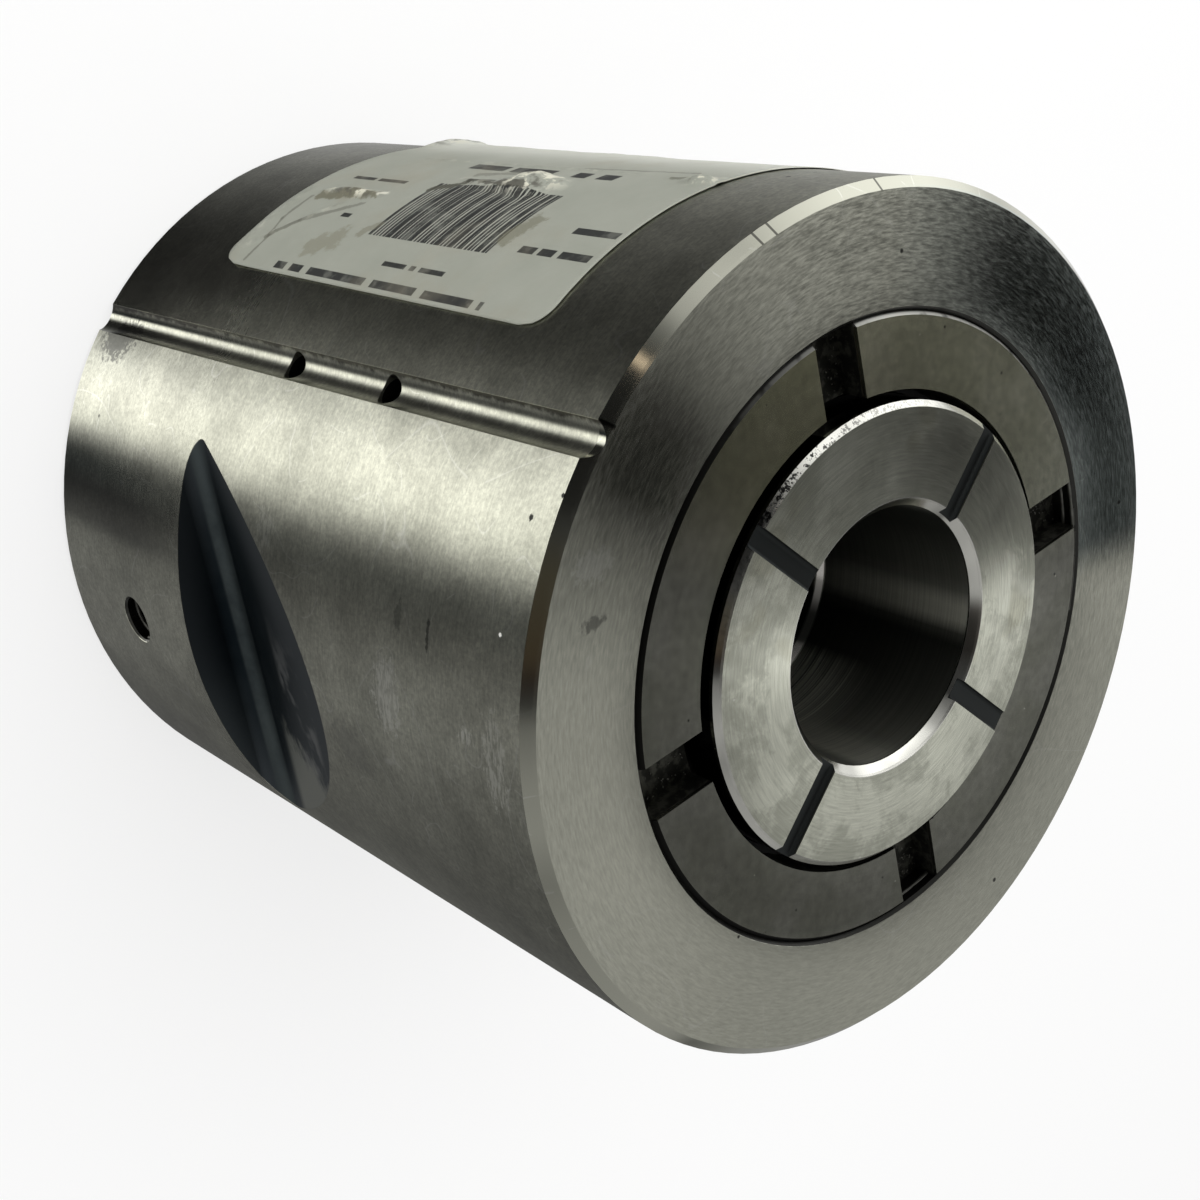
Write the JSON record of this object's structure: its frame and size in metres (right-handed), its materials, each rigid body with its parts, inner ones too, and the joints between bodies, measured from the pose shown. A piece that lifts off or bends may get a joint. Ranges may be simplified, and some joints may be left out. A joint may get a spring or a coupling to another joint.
{
  "type": "shaft coupling",
  "caption": "Heavy cylindrical slip coupling for two shafts: ground steel sleeve with a side notch and oil groove, slotted ring nut and bored hub.",
  "frame": {"origin": "centre of the sleeve's rear end face, where the coupling stands", "axes": "+Z along the shaft axis towards the ring nut, -Y towards the notch and the set screw"},
  "size_m": [0.1502, 0.15, 0.162],
  "materials": {
    "ground_steel": "fine ground and lightly oiled, with small scratches and nicks",
    "nut_steel": "smooth turned, dark with oil in the slots",
    "hub_steel": "bright turned face and bore",
    "plate_steel": "ground flat",
    "friction_facing": "sintered bronze facing on a thin steel core",
    "spring_steel": "blackened spring steel",
    "bronze": "turned bearing bronze",
    "seal_rubber": "black nitrile",
    "screw_steel": "black oxide",
    "pad_brass": "plain brass rod",
    "label_paper": "coated paper sticker, creased, torn and smudged"
  },
  "bodies": {
    "sleeve_side": {"housing": "ground_steel", "ring_nut": "nut_steel", "pressure_plate": "plate_steel", "guide_bush": "bronze", "rear_bush": "bronze", "thrust_washer": "bronze", "seal_ring": "seal_rubber", "shaft_set_screw": "screw_steel", "lock_screw": "screw_steel", "lock_pad": "pad_brass", "paper_label": "label_paper", "outer_plate_1": "plate_steel", "outer_plate_2": "plate_steel", "outer_plate_3": "plate_steel", "outer_plate_4": "plate_steel", "outer_plate_5": "plate_steel", "disc_spring_1": "spring_steel", "disc_spring_2": "spring_steel", "disc_spring_3": "spring_steel", "disc_spring_4": "spring_steel"},
    "hub_side": {"hub": "hub_steel", "inner_plate_1": "friction_facing", "inner_plate_2": "friction_facing", "inner_plate_3": "friction_facing", "inner_plate_4": "friction_facing"}
  },
  "joints": [
    {"name": "hub_slip", "type": "hinge", "parent": "sleeve_side", "child": "hub_side", "pos_m": [0, 0, 0.11], "axis": [0, 0, 1], "continuous": true}
  ]
}
